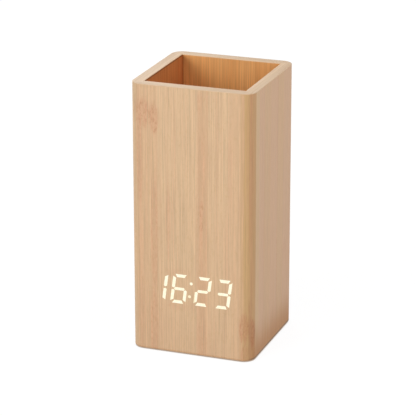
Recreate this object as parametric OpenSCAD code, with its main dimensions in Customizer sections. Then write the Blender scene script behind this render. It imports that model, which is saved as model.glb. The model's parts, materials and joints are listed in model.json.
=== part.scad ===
// Desk clock with a pen cup: a square box of four mitred boards under a bamboo film.
// Millimetres. The origin is the middle of the footprint, on the table. The clock face looks to -Y.

/* [Case] */
// Outside width, left to right
body_w = 74; // [72:1:90]
// Outside depth, front to back
body_d = 74; // [72:1:90]
// Height from the table to the rim
body_h = 160; // [130:1:200]
// Radius of the four upright corners, outside
corner_r = 7; // [4:0.5:8]
// Thickness of the wall boards
board_t = 6; // [5:0.5:7]
// Thickness of the printed film on the outside and on the rim
film_t = 0.4; // [0.3:0.1:0.7]
// Thickness of the lining of the pen cup
lining_t = 0.2; // [0.1:0.1:0.6]
// Thickness of the board under the pens
floor_t = 4; // [3:0.5:6]
// Depth of the grooves that hold the floor of the cup
groove_d = 2; // [1:0.5:2.5]
// Thickness of the base board
base_t = 4; // [3:0.5:5]
// Side of the square blocks glued into the lower corners
block_w = 9; // [7:0.5:9]
// Height of the corner blocks
block_h = 8; // [6:0.5:8.5]

/* [Feet] */
// Height of the foot pads
foot_h = 0.8; // [0.5:0.1:2]
// Diameter of the foot pads
foot_d = 9; // [6:0.5:9]

/* [Digits] */
// Height of the middle of the digits above the table
digit_z = 40.1; // [36:0.5:48]
// Height of a digit between the middles of its top and bottom bars
digit_h = 16; // [14:0.5:17]
// Width of a digit between the middles of its upright bars
digit_w = 7.5; // [6.5:0.1:7.7]
// Width of a bar
stroke = 1.9; // [1.5:0.1:2.1]
// Gap that keeps two bars apart at a corner
bar_gap = 0.35; // [0.25:0.05:0.5]
// Lean of the digits in degrees
lean = 7.5; // [0:0.5:10]
// Distance between the two digits of a pair
digit_pitch = 12.4; // [12:0.1:13]
// Distance between the two digits beside the colon
colon_pitch = 14.2; // [14:0.1:15]
// Diameter of the two dots
dot_d = 1.8; // [1.2:0.1:2]

/* [Display] */
// Depth of the display block, front to back
display_t = 8; // [7.5:0.1:9]
// Dark margin of the display block round the digits, left and right
display_side = 2.2; // [1.5:0.1:2.4]
// Dark margin of the display block above and below the digits
display_end = 3.05; // [2.6:0.05:3.6]
// Depth of the clear filling at the front of each light well
filling_t = 2; // [1:0.1:3]
// Thickness of the circuit boards
pcb_t = 1.6; // [1.2:0.1:2]

/* [Rear housing] */
// Thickness of the flange and of the door recess
flange_t = 1.6; // [1.4:0.1:2]
// Thickness of the moulded walls behind the flange
wall_t = 1.2; // [1:0.1:1.4]
// Height of the flange's lower edge above the base board's underside
flange_low = 5.6; // [5:0.1:7]
// Height of the strip with the buttons
control_h = 9; // [9:0.1:11]
// Running gap round the door and the buttons
gap = 0.3; // [0.2:0.05:0.4]
// Thickness of the battery door
door_t = 1.5; // [1.3:0.1:1.6]
// Radius of the rolled lower edge of the door, round its hinge pins
hinge_r = 2; // [1.8:0.1:2.2]
// Diameter of the hinge pins
pin_d = 1.6; // [1.2:0.1:1.8]
// Radius of the finger notch in the door
notch_r = 3.5; // [2.5:0.5:5]

/* [Buttons and port] */
// Diameter of the button caps
button_d = 4.6; // [4:0.1:5]
// Distance between the buttons
button_pitch = 8.5; // [8:0.1:9]
// Travel of a button
button_travel = 0.5; // [0.3:0.05:0.6]
// Side of the square switches
switch_w = 6; // [5.6:0.1:6.2]
// Width of the power socket
port_w = 7.6; // [7:0.1:8]
// Height of the power socket
port_h = 2.7; // [2.5:0.1:3]

/* [Cells] */
// Diameter of a cell
cell_d = 10.5; // [10:0.1:10.8]
// Length of a cell with its button
cell_l = 44.5; // [43.5:0.1:45]
// Length of a contact spring with a cell in place
spring_l = 4.4; // [4:0.1:4.8]
// Diameter of the spring wire
wire_d = 0.6; // [0.5:0.05:0.65]

/* [Hidden] */
$fn = 48;

// Colours
BAMBOO = [0.84, 0.70, 0.55];
LINING = [0.74, 0.50, 0.30];
BOARD = [0.66, 0.52, 0.38];
GLOW = [1.00, 0.98, 0.88];
PLASTIC = [0.16, 0.15, 0.14];
BLACK = [0.09, 0.09, 0.10];
WHITE = [0.92, 0.92, 0.90];
METAL = [0.78, 0.78, 0.77];
PCB = [0.10, 0.38, 0.22];

// The room that pieces leave each other
cut = 0.05;                              // how far a cutter runs past the face that it cuts
glue_gap = 0.1;                          // round a board that is glued in
seat_gap = 0.25;                         // round the display block in its window
flange_gap = 0.15;                       // round the flange, in the film and in the back board
opening_gap = 0.2;                       // round the moulded box in the back board
slide_gap = 0.2;                         // round a button's shank, a plunger and a hinge pin
shank_gap = 0.15;                        // round a screw or pin in a circuit board
port_gap = 0.3;                          // round the power socket in its slot
pilot_gap = 0.1;                         // how much wider than its screw a pilot hole is
control_gap = 0.5;                       // round the control board, beside the corner blocks
stack_gap = 1;                           // between the cup's floor and the compartment's contents

// The case, in plan
board_x = body_w / 2 - film_t;           // outer faces of the boards
board_y = body_d / 2 - film_t;
in_x = board_x - board_t;                // inner faces of the boards
in_y = board_y - board_t;
cup_x = in_x - lining_t;                 // faces of the pen cup
cup_y = in_y - lining_t;
case_z0 = foot_h;                        // underside of the case
case_z1 = body_h - film_t;               // top of the boards
base_z1 = case_z0 + base_t;

// The display and its board, from the front backwards
bar_r = stroke / 2;
lean_x = tan(lean);
digit_x = [
    -colon_pitch / 2 - digit_pitch, -colon_pitch / 2, colon_pitch / 2, colon_pitch / 2 + digit_pitch
];
shown = ["bc", "acdefg", "abdeg", "abcdg"];      // the bars that are lit in each digit
dot_z = digit_h / 4;
dot_x = -0.35;                           // the colon stands a little left of the middle
display_w = 2 * (digit_x[3] + digit_w / 2 + bar_r + lean_x * digit_h / 2 + display_side);
display_h = digit_h + stroke + 2 * display_end;
display_z0 = digit_z - display_h / 2;
display_z1 = digit_z + display_h / 2;
display_y1 = display_t - board_y;        // back of the display block, against the main board
well_floor = 1.4;                        // thickness of the block behind the light wells
led_w = 0.8;                             // light chips, one on the floor of each well
led_t = 0.4;
pin_pitch = 5.08;                        // the display's pins
pin_in = 2;                              // from the block's upper and lower edges
pin_wire = 0.6;
pin_out = 1.4;                           // how far they stand out of the main board
chip_face = display_y1 + pcb_t;          // the main board's rear face
spacer_h = display_t - board_t;
spacer_d = 4.8;
main_side = 2.4;                         // between the main board and the side boards
main_below = 8;                          // of the main board under the display block
main_above = 6.9;
main_w = 2 * (in_x - main_side);
main_z0 = display_z0 - main_below;
main_z1 = display_z1 + main_above;
hole_in = [3.4, 3];                      // fixing holes, in from the main board's edges

// What the main board carries: width, height and depth, then places from its middle or its edges
CLOCK_CHIP = [10, 7, 2.2];
DRIVER_CHIP = [9, 4, 1.7];
CRYSTAL = [2.1, 6];                      // diameter and length
BUZZER = [12, 6.2];
CAPACITOR = [5, 8];
SOCKET = [8, 4.8, 5];
RIBBON_SOCKET = [8, 3.2, 3];
CHIP_RESISTOR = [1.25, 2, 0.5];
CHIP_CAPACITOR = [1.25, 2, 0.9];
DIODE = [4.3, 2.6, 2.2];
clock_x = 16.2 - main_w / 2;
crystal_x = 5.7 - main_w / 2;
capacitor_x = 6.2 - main_w / 2;
buzzer_x = main_w / 2 - 10.2;
driver_x = 3;
driver_z = 4.4;                          // either side of the display's middle
crystal_z = 2;
capacitor_z = -4.5;
socket_x = 14;
socket_z = main_z0 + 4;
socket_wall = 0.8;
resistor_pitch = 3;                      // one for each bar of a digit and one for the dots
resistor_z = 4.5;                        // down from the main board's upper edge
decoupling_x = (clock_x + CLOCK_CHIP[0] / 2 + driver_x - DRIVER_CHIP[0] / 2) / 2;
load_x = crystal_x + 3.4;                // the crystal's two capacitors
load_z = [1.4, 4.6];                     // above the crystal's lower end
diode_x = socket_x - 8;
plug_gap = 0.1;
plug_grip = 1;                           // the plug's wider end, outside the socket
plug_y = chip_face + SOCKET[2] + plug_grip;
ribbon_x = -3;
ribbon_w = 6;
ribbon_t = 0.8;
ribbon_sweep = 20;                       // how far the flat cable bows from its sockets
lead_d = 1.2;
lead_pitch = 3.2;                        // between the two leads in the plug
positive_sweep = [16, 14];               // how far the leads bow from their ends
negative_sweep = [20, 20];

// The rear housing, from the back forwards and from the base upwards
back_y = body_d / 2;
seat_y = back_y - flange_t;              // bottom of the rabbet that takes the flange
flange_z0 = case_z0 + flange_low;
control_z = flange_z0 + control_h / 2;
trough_z = flange_z0 + control_h + opening_gap;      // lower edge of the hinge trough
hinge_z = trough_z + gap + hinge_r;
hinge_y = back_y - hinge_r;
bay_z0 = hinge_z + hinge_r - 0.1;        // inside of the battery bay
cell_gap = 0.6;                          // between two cells
cell_play = [0.25, 0.15];                // before a cell, at the door's ribs, and behind it
cell_pitch = cell_d + cell_gap;
bay_h = 3 * cell_pitch;
bay_z1 = bay_z0 + bay_h;
plate_t = 0.4;                           // contact plates
plate_reach = [3.6, 4.4];                // a plate reaches this far past a cell's middle
dimple_t = 0.3;
dimple_d = 3;
tail_w = 3;                              // tails of the two end contacts
tail_out = 2;                            // how far they stand out of the box
bay_w = 2 * plate_t + spring_l + cell_l + dimple_t;
ledge = 1;                               // width of the ledge that the door closes on
recess_w = bay_w + 2 * ledge;
recess_z1 = bay_z1 + ledge;
door_w = recess_w - 2 * gap;
door_z1 = recess_z1 - gap;
pin_l = 1.8;                             // hinge pins
pin_room = 2.2;                          // the rolled edge stops this far short of the door's sides
barrel_w = door_w - 2 * pin_room;
boss_r = hinge_r + 0.5;                  // radius of the bosses round the pin bores
flange_side = 2.7;                       // of the flange, outside the recess
flange_top = 5.9;
flange_w = recess_w + 2 * flange_side;
flange_z1 = recess_z1 + flange_top;
flange_r = 2;
rib_h = 0.8;                             // ribs on the door that steady the cells
rib_w = 1;
rib_x = [-14, 0, 14];
snap_in = 4;                             // snap bumps, down from the door's upper edge
fence = [4, 1.4, 2.4];                   // fences between the cells: foot, top and height
cell_y = back_y - door_t - rib_h - cell_play[0] - cell_d / 2;
bay_y = cell_y - cell_d / 2 - cell_play[1];          // floor of the battery bay
trough_y = hinge_y - hinge_r - gap;
box_w = bay_w + 2 * wall_t;              // outside of the moulded box
box_z0 = trough_z - wall_t;
box_z1 = bay_z1 + wall_t;
tail_y = bay_y - wall_t - tail_out;

// The cup's floor lies above everything that the compartment holds
floor_z0 = max(main_z1, box_z1) + stack_gap;
floor_z1 = floor_z0 + floor_t;

// Buttons and switches, along the strip
row_x = -5.5;                            // the middle button
button_x = [row_x - button_pitch, row_x, row_x + button_pitch];
cap_y = back_y - 0.3;                    // the caps sit a little below the surface
cap_l = 3.1;
cap_edge = 0.3;                          // radius of a cap's edge
collar_t = 0.8;
collar_w = 0.8;
collar_y = seat_y - opening_gap;         // top of the collar that keeps a cap in
plunger_l = 1.6;
plunger_d = 3.4;
plunger_out = 0.8;                       // of the plunger, outside the switch body
switch_y = cap_y - cap_l - plunger_out;  // face of the switch body
switch_t = 3.5;
control_y = switch_y - switch_t;         // face of the control board that carries the switches
boss_d = 4;                              // bosses that the control board is screwed to
boss_gap = 0.2;                          // between a boss and the switch beside it
control_boss = [
    button_x[0] - (switch_w + boss_d) / 2 - boss_gap,
    button_x[2] + (switch_w + boss_d) / 2 + boss_gap
];
port_x = control_boss[1] + (boss_d + port_w) / 2 + 0.5;
port_wall = 0.35;
port_back = 1;                           // thickness of the power socket's rear wall
port_sink = 0.4;                         // how far the power socket lies below the back
tongue = [1.6, 0.6, 1];                  // the tongue: in from the sides, thickness, below the mouth
control_pcb_w = 2 * (port_x + port_w / 2 + 2.5);
control_pcb_h = control_h - 2;
control_w = control_pcb_w + 2.4;         // width of the opening behind the buttons

// Screws: head diameter, head height, shank diameter, length from the head's top
bite = [4, 3.5];                         // how far a board screw and a small screw reach in
BASE_SCREW = [3.8, 1.1, 2, 10];
REAR_SCREW = [3.4, 1, 1.8, 6];
BOARD_SCREW = [3.6, 1.3, 1.8, 1.3 + pcb_t + spacer_h + bite[0]];
SMALL_SCREW = [2.8, 1.1, 1.4, 1.1 + pcb_t + bite[1]];
pilot_end = 0.3;                         // left free under a screw's point
screw_tip = 1;
base_hole = [in_x - block_w / 2, in_y - block_w / 2];
rear_in = [3.2, 3.1];                    // housing screws: in from the sides, above the recess
rear_half = 18;                          // half the distance between the two upper ones
rear_holes = [
    [rear_in[0] - flange_w / 2, control_z], [flange_w / 2 - rear_in[0], control_z],
    [-rear_half, recess_z1 + rear_in[1]], [rear_half, recess_z1 + rear_in[1]]
];

// Helpers

// A rectangle with true round corners, centred
module rounded_rect(w, h, r) {
    square([w - 2 * r, h], center = true);
    square([w, h - 2 * r], center = true);
    for (x = [-1, 1], y = [-1, 1])
        translate([x * (w / 2 - r), y * (h / 2 - r)]) circle(r);
}

// Stands a flat shape, drawn in X and Z, up between y and y + t
module upright(y, t) {
    translate([0, y + t, 0]) rotate([90, 0, 0]) linear_extrude(t) children();
}

// A box given by its two corners
module block(a, b) {
    translate(a) cube(b - a);
}

// A round bar along +Y
module bar_y(p, d, l) {
    translate(p) rotate([-90, 0, 0]) cylinder(d = d, h = l);
}

// A round bar along +X
module bar_x(p, d, l) {
    translate(p) rotate([0, 90, 0]) cylinder(d = d, h = l);
}

module cross_slot(w, deep) {
    for (a = [0, 90])
        rotate(a) translate([-w / 2, -w / 10, -cut]) cube([w, w / 5, deep + cut]);
}

// A countersunk screw: the head's top at the origin, the shank along +Z
module sunk_screw(s) {
    difference() {
        union() {
            cylinder(d1 = s[0], d2 = s[2], h = s[1]);
            translate([0, 0, s[1] - cut]) cylinder(d = s[2], h = s[3] - screw_tip - s[1] + cut);
            translate([0, 0, s[3] - screw_tip]) cylinder(d1 = s[2], d2 = s[2] / 4, h = screw_tip);
        }
        cross_slot(s[0] * 0.55, s[1] * 0.6);
    }
}

// A pan head screw: the head's top at the origin, the shank along +Z
module pan_screw(s) {
    difference() {
        union() {
            cylinder(d = s[0], h = s[1]);
            cylinder(d = s[2], h = s[3]);
        }
        cross_slot(s[0] * 0.6, s[1] * 0.6);
    }
}

// The hole that a countersunk screw sits in
module sunk_hole(s, deep) {
    translate([0, 0, -cut]) cylinder(d = s[2] + 2 * pilot_gap, h = deep + 2 * cut);
    translate([0, 0, -cut]) cylinder(d1 = s[0] + 2 * cut, d2 = s[2], h = s[1] + cut);
}

module pilot(s, deep) {
    translate([0, 0, -cut]) cylinder(d = s[2] + pilot_gap, h = deep + cut);
}

// The case

// Plan of the boards as one ring's outline, with the film taken off
module board_outline() {
    rounded_rect(2 * board_x, 2 * board_y, corner_r - film_t);
}

// Plan of one mitred board: a is half its outer length, b half its outer distance from the middle
module mitred_plan(turn, a, b) {
    intersection() {
        board_outline();
        rotate(turn) polygon([[-a, -b], [a, -b], [a - board_t, board_t - b], [board_t - a, board_t - b]]);
    }
}

module wall_board(turn, a, b) {
    difference() {
        translate([0, 0, case_z0]) linear_extrude(case_z1 - case_z0) mitred_plan(turn, a, b);
        block([-in_x - groove_d, -in_y - groove_d, floor_z0], [in_x + groove_d, in_y + groove_d, floor_z1]);
        display_window();
    }
}

// The window that holds the display block, which also reaches into the side boards of a narrow case
module display_window() {
    block(
        [-display_w / 2 - seat_gap, -body_d, display_z0 - seat_gap],
        [display_w / 2 + seat_gap, display_y1 + seat_gap, display_z1 + seat_gap]
    );
}

module front_panel() {
    color(BOARD) difference() {
        wall_board(0, board_x, board_y);
        for (p = main_holes())
            translate([p[0], -in_y, p[1]]) rotate([90, 0, 0]) pilot(BOARD_SCREW, bite[0] + pilot_end);
    }
}

module left_panel() {
    color(BOARD) wall_board(-90, board_y, board_x);
}

module right_panel() {
    color(BOARD) wall_board(90, board_y, board_x);
}

module back_panel() {
    color(BOARD) difference() {
        wall_board(180, board_x, board_y);
        upright(seat_y, body_d) flange_outline(flange_gap);
        block(
            [-box_w / 2 - opening_gap, 0, box_z0 - opening_gap],
            [box_w / 2 + opening_gap, body_d, box_z1 + opening_gap]
        );
        block(
            [-control_w / 2, 0, control_z - control_h / 2 + 0.6],
            [control_w / 2, body_d, box_z0]
        );
        for (p = rear_holes)
            translate([p[0], seat_y, p[1]]) rotate([90, 0, 0])
                pilot(REAR_SCREW, REAR_SCREW[3] - flange_t + 0.2);
    }
}

// The printed film: a skin on the four walls and on the rim, cut out for the lit bars and the housing
module outer_film() {
    color(BAMBOO) difference() {
        translate([0, 0, case_z0]) linear_extrude(body_h - case_z0) rounded_rect(body_w, body_d, corner_r);
        translate([0, 0, case_z0 - cut]) linear_extrude(case_z1 - case_z0 + cut) board_outline();
        block([-cup_x, -cup_y, case_z1 - 1], [cup_x, cup_y, body_h + 1]);
        upright(-back_y - cut, film_t + 2 * cut) lit_outline();
        upright(board_y - cut, film_t + 2 * cut) flange_outline(flange_gap);
    }
}

module cup_lining() {
    color(LINING) difference() {
        block([-in_x, -in_y, floor_z1], [in_x, in_y, case_z1]);
        block([-cup_x, -cup_y, floor_z1 - 1], [cup_x, cup_y, case_z1 + 1]);
    }
}

module cup_floor() {
    a = in_x + groove_d - glue_gap;
    b = in_y + groove_d - glue_gap;
    color(LINING) block([-a, -b, floor_z0], [a, b, floor_z1]);
}

// The room that the control board and its screws need, which a corner block of a narrow case gives way to
module control_room() {
    x = control_pcb_w / 2 + control_gap;
    block(
        [-x, control_y - pcb_t - SMALL_SCREW[1] - control_gap, control_z - control_pcb_h / 2 - control_gap],
        [x, body_d, case_z1]
    );
}

module corner_blocks() {
    color(BOARD) for (x = [-1, 1], y = [-1, 1]) difference() {
        translate([x * base_hole[0] - block_w / 2, y * base_hole[1] - block_w / 2, base_z1])
            cube([block_w, block_w, block_h]);
        control_room();
        translate([x * base_hole[0], y * base_hole[1], base_z1])
            pilot(BASE_SCREW, min(BASE_SCREW[3] - base_t + 0.5, block_h - 1));
    }
}

module base_plate() {
    color(BOARD) difference() {
        block([glue_gap - in_x, glue_gap - in_y, case_z0], [in_x - glue_gap, in_y - glue_gap, base_z1]);
        for (x = [-1, 1], y = [-1, 1])
            translate([x * base_hole[0], y * base_hole[1], case_z0]) sunk_hole(BASE_SCREW, base_t);
    }
}

module base_screws() {
    color(METAL) for (x = [-1, 1], y = [-1, 1])
        translate([x * base_hole[0], y * base_hole[1], case_z0]) sunk_screw(BASE_SCREW);
}

// Pads with a rounded lower edge, clear of the screw heads
module foot_pads() {
    inset = (foot_d + BASE_SCREW[0]) / 2 / sqrt(2) + 0.4;
    edge = foot_h * 0.4;
    color(BLACK) for (x = [-1, 1], y = [-1, 1])
        translate([x * (base_hole[0] - inset), y * (base_hole[1] - inset), 0]) rotate_extrude() {
            square([foot_d / 2 - edge, foot_h]);
            translate([0, edge]) square([foot_d / 2, foot_h - edge]);
            translate([foot_d / 2 - edge, edge]) circle(edge);
        }
}

// The digits

// One bar of a digit as points, upright and centred on the digit
function bar(name) =
    let (
        w = digit_w / 2, h = digit_h / 2, r = bar_r,
        long = w - bar_gap, mitre = 1.15 * r, tip = bar_gap + 0.05, shoulder = bar_gap + 0.65 * r
    )
    name == "a" ? [[-long, h + r], [long, h + r], [long - mitre, h - r], [mitre - long, h - r]] :
    name == "g" ? [
        [-w + 1.3 * bar_gap, 0], [-w + 1.3 * bar_gap + 0.6 * r, 0.9 * r],
        [w - 1.3 * bar_gap - 0.6 * r, 0.9 * r], [w - 1.3 * bar_gap, 0],
        [w - 1.3 * bar_gap - 0.6 * r, -0.9 * r], [-w + 1.3 * bar_gap + 0.6 * r, -0.9 * r]
    ] :
    name == "b" ? [
        [w + r, h - bar_gap], [w - r, h - bar_gap - mitre], [w - r, shoulder], [w, tip], [w + r, shoulder]
    ] :
    name == "c" ? [for (p = bar("b")) [p[0], -p[1]]] :
    name == "d" ? [for (p = bar("a")) [p[0], -p[1]]] :
    name == "e" ? [for (p = bar("b")) [-p[0], -p[1]]] :
    [for (p = bar("b")) [-p[0], p[1]]];

// A bar of digit n, leaning, at its place on the face
function placed(name, n) =
    [for (p = bar(name)) [digit_x[n] + p[0] + p[1] * lean_x, digit_z + p[1]]];

module dot_outline() {
    for (s = [-1, 1])
        translate([dot_x + s * dot_z * lean_x, digit_z + s * dot_z]) circle(d = dot_d);
}

module lit_outline() {
    for (n = [0:3], name = shown[n]) polygon(placed(name, n));
    dot_outline();
}

module all_outline() {
    for (n = [0:3], name = "abcdefg") polygon(placed(name, n));
    dot_outline();
}

module lit_segments() {
    color(GLOW) upright(-back_y, film_t) lit_outline();
}

// The moulded display block, with one light well for each bar and dot
module display_housing() {
    well = display_t - well_floor;
    color(BLACK) difference() {
        block([-display_w / 2, -board_y, display_z0], [display_w / 2, display_y1, display_z1]);
        upright(-board_y - cut, well + cut) all_outline();
    }
}

module display_fillings() {
    color(WHITE) upright(-board_y, filling_t) all_outline();
}

// One light chip on the floor of each well
module light_chips() {
    y = display_t - well_floor - led_t - board_y;
    middles = [[0, 2], [1, 1], [1, -1], [0, -2], [-1, -1], [-1, 1], [0, 0]];
    color(GLOW) {
        for (n = [0:3], m = middles) {
            z = m[1] * digit_h / 4;
            x = digit_x[n] + m[0] * digit_w / 2 + z * lean_x;
            translate([x - led_w / 2, y, digit_z + z - led_w / 2]) cube([led_w, led_t, led_w]);
        }
        for (s = [-1, 1])
            translate([dot_x + s * dot_z * lean_x - led_w / 2, y, digit_z + s * dot_z - led_w / 2])
                cube([led_w, led_t, led_w]);
    }
}

function pin_places() =
    [for (s = [-1, 1], i = [-3.5:3.5]) [i * pin_pitch, digit_z + s * (display_h / 2 - pin_in)]];

module display_pins() {
    color(METAL) for (p = pin_places()) bar_y([p[0], display_y1, p[1]], pin_wire, pcb_t + pin_out);
}

// The main board

function main_holes() =
    [
        for (x = [-1, 1], z = [main_z0 + hole_in[1], main_z1 - hole_in[1]])
            [x * (main_w / 2 - hole_in[0]), z]
    ];

module main_board() {
    color(PCB) difference() {
        block([-main_w / 2, display_y1, main_z0], [main_w / 2, chip_face, main_z1]);
        for (p = main_holes())
            bar_y([p[0], display_y1 - cut, p[1]], BOARD_SCREW[2] + 2 * shank_gap, pcb_t + 2 * cut);
        for (p = pin_places())
            bar_y([p[0], display_y1 - cut, p[1]], pin_wire + 2 * shank_gap, pcb_t + 2 * cut);
    }
}

module board_spacers() {
    color(WHITE) for (p = main_holes()) difference() {
        bar_y([p[0], -in_y, p[1]], spacer_d, spacer_h);
        bar_y([p[0], -in_y - cut, p[1]], BOARD_SCREW[2] + 2 * shank_gap, spacer_h + 2 * cut);
    }
}

module board_screws() {
    color(METAL) for (p = main_holes())
        translate([p[0], chip_face + BOARD_SCREW[1], p[1]]) rotate([90, 0, 0]) pan_screw(BOARD_SCREW);
}

// A packaged chip on the main board: a body held off the board by a row of legs on each long side
module leaded_chip(x, z, size, legs) {
    lift = 0.2;
    leg = [0.4, 0.5, 1.2];
    translate([x, chip_face, z]) {
        translate([-size[0] / 2, lift, -size[1] / 2]) cube([size[0], size[2] - lift, size[1]]);
        for (s = [-1, 1], i = [0:legs - 1]) {
            middle = [(i + 0.5) * size[0] / legs - size[0] / 2, 0, s * (size[1] / 2 + 0.5)];
            translate(middle - [leg[0] / 2, 0, leg[2] / 2]) cube(leg);
        }
    }
}

module clock_chip() {
    color(BLACK) leaded_chip(clock_x, digit_z, CLOCK_CHIP, 10);
}

module driver_chips() {
    color(BLACK) for (s = [-1, 1]) leaded_chip(driver_x, digit_z + s * driver_z, DRIVER_CHIP, 8);
}

module crystal_can() {
    saddle = [1.8, 1.1, 4];
    color(METAL) translate([crystal_x, chip_face, digit_z + crystal_z]) {
        translate([0, saddle[1], 0]) cylinder(d = CRYSTAL[0], h = CRYSTAL[1]);
        translate([-saddle[0] / 2, 0, (CRYSTAL[1] - saddle[2]) / 2]) cube(saddle);
    }
}

module buzzer() {
    rim = [0.6, 1];
    sound_hole = [2, 1.6];
    color(BLACK) translate([buzzer_x, chip_face, digit_z]) rotate([-90, 0, 0]) difference() {
        union() {
            cylinder(d = BUZZER[0], h = BUZZER[1]);
            cylinder(d = BUZZER[0] + rim[0], h = rim[1]);
        }
        translate([0, 0, BUZZER[1] - sound_hole[1]]) cylinder(d = sound_hole[0], h = sound_hole[1] + cut);
    }
}

module capacitor() {
    crimp = [1.1, 0.25];
    color(METAL) translate([capacitor_x, chip_face, digit_z + capacitor_z]) rotate([-90, 0, 0])
        difference() {
            cylinder(d = CAPACITOR[0], h = CAPACITOR[1]);
            translate([0, 0, crimp[0]]) rotate_extrude() translate([CAPACITOR[0] / 2, 0]) circle(crimp[1]);
        }
}

// A chip with a metal cap on each end, upright on the main board, at a place in X and Z
module end_capped(p, size) {
    cap = 0.4;
    inset = 0.04;                        // the body lies this much inside its end caps
    x = size[0] / 2 - inset;
    z = size[1] / 2 - inset;
    translate([p[0], chip_face, p[1]]) {
        block([-x, 0, -z], [x, size[2] - inset, z]);
        for (s = [-1, 1])
            translate([-size[0] / 2, 0, s * (size[1] - cap) / 2 - cap / 2]) cube([size[0], size[2], cap]);
    }
}

// In line with the bars' drivers, at the upper edge
module chip_resistors() {
    color(BLACK) for (i = [-3.5:3.5]) end_capped([i * resistor_pitch, main_z1 - resistor_z], CHIP_RESISTOR);
}

// One beside each driver chip and two beside the crystal
module chip_capacitors() {
    color(LINING) {
        for (s = [-1, 1]) end_capped([decoupling_x, digit_z + s * driver_z], CHIP_CAPACITOR);
        for (z = load_z) end_capped([load_x, digit_z + crystal_z + z], CHIP_CAPACITOR);
    }
}

// The diode that keeps the cells from feeding the power socket: a body on two bent tabs
module steering_diode() {
    tab = [0.9, 0.3, 1.5];
    draft = 0.35;
    w = DIODE[0] / 2;
    color(BLACK) translate([diode_x, chip_face, socket_z]) {
        translate([0, 0, -DIODE[1] / 2]) linear_extrude(DIODE[1]) polygon([
            [draft - w, 0.1], [w - draft, 0.1], [w, DIODE[2] / 2], [w - draft, DIODE[2]],
            [draft - w, DIODE[2]], [-w, DIODE[2] / 2]
        ]);
        for (s = [-1, 1]) translate([s * w - tab[0] / 2, 0, -tab[2] / 2]) cube(tab);
    }
}

// A block on the main board at the battery socket's place, smaller by inset, between two depths
module socket_block(inset, y0, y1) {
    x = SOCKET[0] / 2 - inset;
    z = SOCKET[1] / 2 - inset;
    translate([socket_x, chip_face, socket_z]) block([-x, y0, -z], [x, y1, z]);
}

module battery_socket() {
    color(WHITE) difference() {
        socket_block(0, 0, SOCKET[2]);
        socket_block(socket_wall, 1, SOCKET[2] + cut);
    }
}

module battery_plug() {
    color(WHITE) {
        socket_block(socket_wall + plug_gap, 1, SOCKET[2]);
        socket_block(socket_wall / 2, SOCKET[2], SOCKET[2] + plug_grip);
    }
}

// The flat cable between the two boards
module ribbon_socket(y, z) {
    translate([ribbon_x - RIBBON_SOCKET[0] / 2, y, z - RIBBON_SOCKET[1] / 2])
        cube([RIBBON_SOCKET[0], RIBBON_SOCKET[2], RIBBON_SOCKET[1]]);
}

module ribbon_sockets() {
    color(BLACK) {
        ribbon_socket(chip_face, socket_z);
        ribbon_socket(control_y - pcb_t - RIBBON_SOCKET[2], control_z);
    }
}

function bezier(p, t) =
    let (u = 1 - t)
    u * u * u * p[0] + 3 * u * u * t * p[1] + 3 * u * t * t * p[2] + t * t * t * p[3];
function bezier_way(p, t) =
    let (u = 1 - t)
    u * u * (p[1] - p[0]) + 2 * u * t * (p[2] - p[1]) + t * t * (p[3] - p[2]);
function unit(v) = v / norm(v);

module ribbon_cable() {
    start = [control_y - pcb_t - RIBBON_SOCKET[2], control_z];
    end = [chip_face + RIBBON_SOCKET[2], socket_z];
    way = [start, start - [ribbon_sweep, 0], end + [ribbon_sweep, 0], end];
    steps = 24;
    function side(s, t) =
        let (d = unit(bezier_way(way, t))) bezier(way, t) + s * ribbon_t / 2 * [-d[1], d[0]];
    outline = concat(
        [for (i = [0:steps]) side(1, i / steps)],
        [for (i = [steps:-1:0]) side(-1, i / steps)]
    );
    color([0.55, 0.55, 0.58]) translate([ribbon_x - ribbon_w / 2, 0, 0])
        rotate([90, 0, 90]) linear_extrude(ribbon_w) polygon(outline);
}

// A round lead along a curve: rings of eight points, closed at both ends
module lead(way, d, steps) {
    sides = 8;
    points = [
        for (i = [0:steps])
            let (
                t = i / steps, f = unit(bezier_way(way, t)),
                a = unit(cross(f, [0, 0, 1])), b = cross(f, a), c = bezier(way, t)
            )
            for (k = [0:sides - 1]) c + d / 2 * (cos(k * 360 / sides) * a + sin(k * 360 / sides) * b)
    ];
    skin = [
        for (i = [0:steps - 1], k = [0:sides - 1])
            let (n = (k + 1) % sides, p = i * sides, q = p + sides)
            each [[p + k, p + n, q + n], [p + k, q + n, q + k]]
    ];
    ends = [
        for (k = [1:sides - 2])
            each [[0, k + 1, k], [steps * sides, steps * sides + k, steps * sides + k + 1]]
    ];
    polyhedron(points, [for (f = concat(skin, ends)) [f[2], f[1], f[0]]]);
}

// A lead from a contact's tail to the plug, bowing by sweep at its two ends
module battery_lead(side, z, sweep, steps) {
    start = [side * (bay_w - plate_t) / 2, tail_y, z];
    end = [socket_x + side * lead_pitch / 2, plug_y, socket_z];
    lead([start, start - [0, sweep[0], 0], end + [0, sweep[1], 0], end], lead_d, steps);
}

module positive_lead() {
    color([0.75, 0.08, 0.06]) battery_lead(1, cell_z(0), positive_sweep, 20);
}

module negative_lead() {
    color(BLACK) battery_lead(-1, cell_z(2), negative_sweep, 24);
}

// The rear housing

// The outline of the flange, wider by grow on every side
module flange_outline(grow) {
    translate([0, (flange_z0 + flange_z1) / 2])
        rounded_rect(flange_w + 2 * grow, flange_z1 - flange_z0 + 2 * grow, flange_r + grow);
}

function cell_z(i) = bay_z0 + (i + 0.5) * cell_pitch;

// The low fences between the cells, on the floor of the bay
module cell_fences() {
    l = bay_w - 2 * (plate_t + 0.5);
    for (i = [1, 2]) translate([-l / 2, bay_y, bay_z0 + i * cell_pitch])
        rotate([0, 90, 0]) linear_extrude(l)
            polygon([
                [-fence[0] / 2, -cut], [fence[0] / 2, -cut],
                [fence[1] / 2, fence[2]], [-fence[1] / 2, fence[2]]
            ]);
}

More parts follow.
